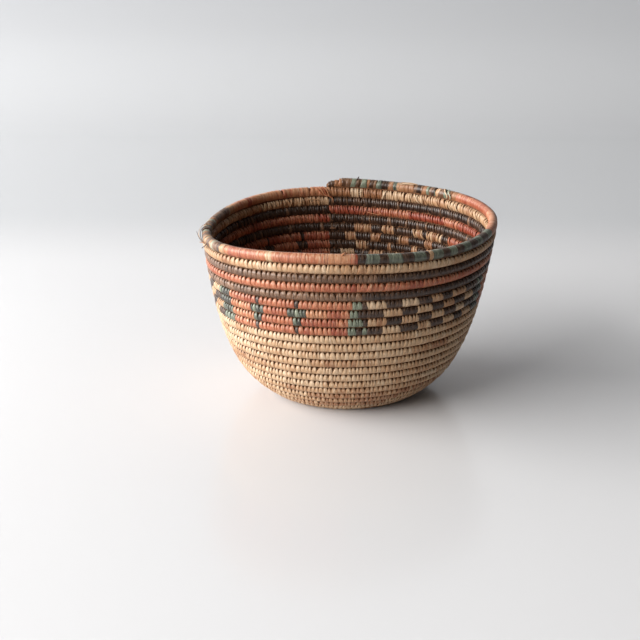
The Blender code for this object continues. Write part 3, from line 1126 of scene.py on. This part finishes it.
for number, (angle, around, tone) in enumerate(((325.5, 96, 0.9), (324.6, 122, 0.7), (326.0, 140, 1.1)), 1):
    strands[f"rim_lying_strand_{number}"] = ("natural", 0.0011, tone, (
        (angle, around, 0.0004), (angle - 3.5, around - 12, 0.0009), (angle - 7.0, around - 20, 0.0003)))
for number, (angle, dye) in enumerate(((300.2, "green"), (302.2, "natural")), 1):
    strands[f"rim_twisted_loop_{number}"] = (dye, 0.0013, 0.9, (
        (angle + 1.6, 80, 0.0003), (angle + 1.0, 115, 0.0012), (angle, 150, 0.0016),
        (angle - 1.4, 185, 0.0012), (angle - 0.6, 215, 0.0004)))
strands["rim_front_strand"] = ("orange", 0.0016, 0.9, (
    (168.6, 60, 0.0001), (169.4, 85, 0.0008), (170.2, 110, 0.0009), (171.0, 135, 0.0001)))
strands["orange_band_strand"] = ("orange", 0.0008, 1.0, (
    (341.0, 186, 0.0008, 3), (338.0, 196, 0.0012, 3), (334.0, 207, 0.0008, 3)))
strands["rim_spike_strand"] = ("brown", 0.0014, 0.2, (
    (346.6, 140, 0.0001), (346.2, 105, 0.0008), (345.8, 92, 0.0022)))
for name, strand in strands.items():
    leaf_strand(name, *strand)


# Studio: a pale floor that curves up behind, soft light from the left, and the camera

# The floor is paler in front and the backdrop greyer with height, both painted shade
floor_front, floor_back, backdrop_shade = (0.72, 0.72, 0.73), (0.57, 0.58, 0.595), (0.48, 0.49, 0.51)
floor_shade_range, backdrop_shade_range = (0.36, 0.66), (0.0, 0.25)

sweep_half_width, sweep_front, sweep_top = 4.0, -2.5, 3.0
bend_starts, bend_radius, bend_steps = 1.2, 0.6, 12
window_place, window_target = (-3.40, -1.05, 1.70), (0.0, 0.0, 0.08)
window_width, window_height, window_power = 5.6, 2.6, 478.0
window_tint, sky_tint, sky_strength = (1.0, 0.99, 0.975), (1.0, 0.96, 0.90), 0.07
camera_pitch, camera_yaw = 71.1185, 1.2015


def stage_material():
    """Glossy paint of the floor and the backdrop, with painted shade towards the back and the top."""
    maker = LookMaker("studio_floor")
    _, depth, height = maker.place().parts()
    shade = depth.smooth(*floor_shade_range).tint(opaque(floor_front), opaque(floor_back))
    shade = height.smooth(*backdrop_shade_range).tint(shade, opaque(backdrop_shade))
    return maker.finish({"Base Color": shade, "Roughness": 0.20, "Specular IOR Level": 0.8})


def sweep():
    """Floor and backdrop in one bent sheet."""
    profile = [(sweep_front, 0.0), (bend_starts, 0.0)]
    for n in range(1, bend_steps + 1):
        turn = math.pi / 2 * n / bend_steps
        profile.append((bend_starts + bend_radius * math.sin(turn), bend_radius * (1 - math.cos(turn))))
    profile.append((bend_starts + bend_radius, sweep_top))
    verts, faces = [], []
    for n, (y, z) in enumerate(profile):
        verts += [(-sweep_half_width, y, z), (sweep_half_width, y, z)]
        if n:
            faces.append((2 * n - 2, 2 * n - 1, 2 * n + 1, 2 * n))
    data = bpy.data.meshes.new("studio_sweep")
    data.from_pydata(verts, [], faces)
    data.shade_smooth()
    data.materials.append(stage_material())
    placed("studio_sweep", data)


def window():
    """Soft daylight from one side."""
    data = bpy.data.lights.new("window", "AREA")
    data.shape = "RECTANGLE"
    data.size, data.size_y = window_width, window_height
    data.energy = window_power
    data.color = window_tint
    lamp = placed("window", data)
    lamp.location = window_place
    aim = Vector(window_target) - Vector(window_place)
    lamp.rotation_euler = aim.to_track_quat("-Z", "Y").to_euler()


sweep()
window()
world = bpy.data.worlds.new("studio")
world.use_nodes = True
sky = world.node_tree.nodes["Background"]
sky.inputs["Color"].default_value = opaque(sky_tint)
sky.inputs["Strength"].default_value = sky_strength
bpy.context.scene.world = world
bpy.context.scene.view_settings.view_transform = "Standard"

camera_data = bpy.data.cameras.new("camera")
camera_data.lens = 72.49
camera_data.sensor_width = 36.0
camera = placed("camera", camera_data)
camera.location = (0.0, -1.10613, 0.44155)
camera.rotation_euler = (math.radians(camera_pitch), 0.0, math.radians(camera_yaw))
bpy.context.scene.camera = camera
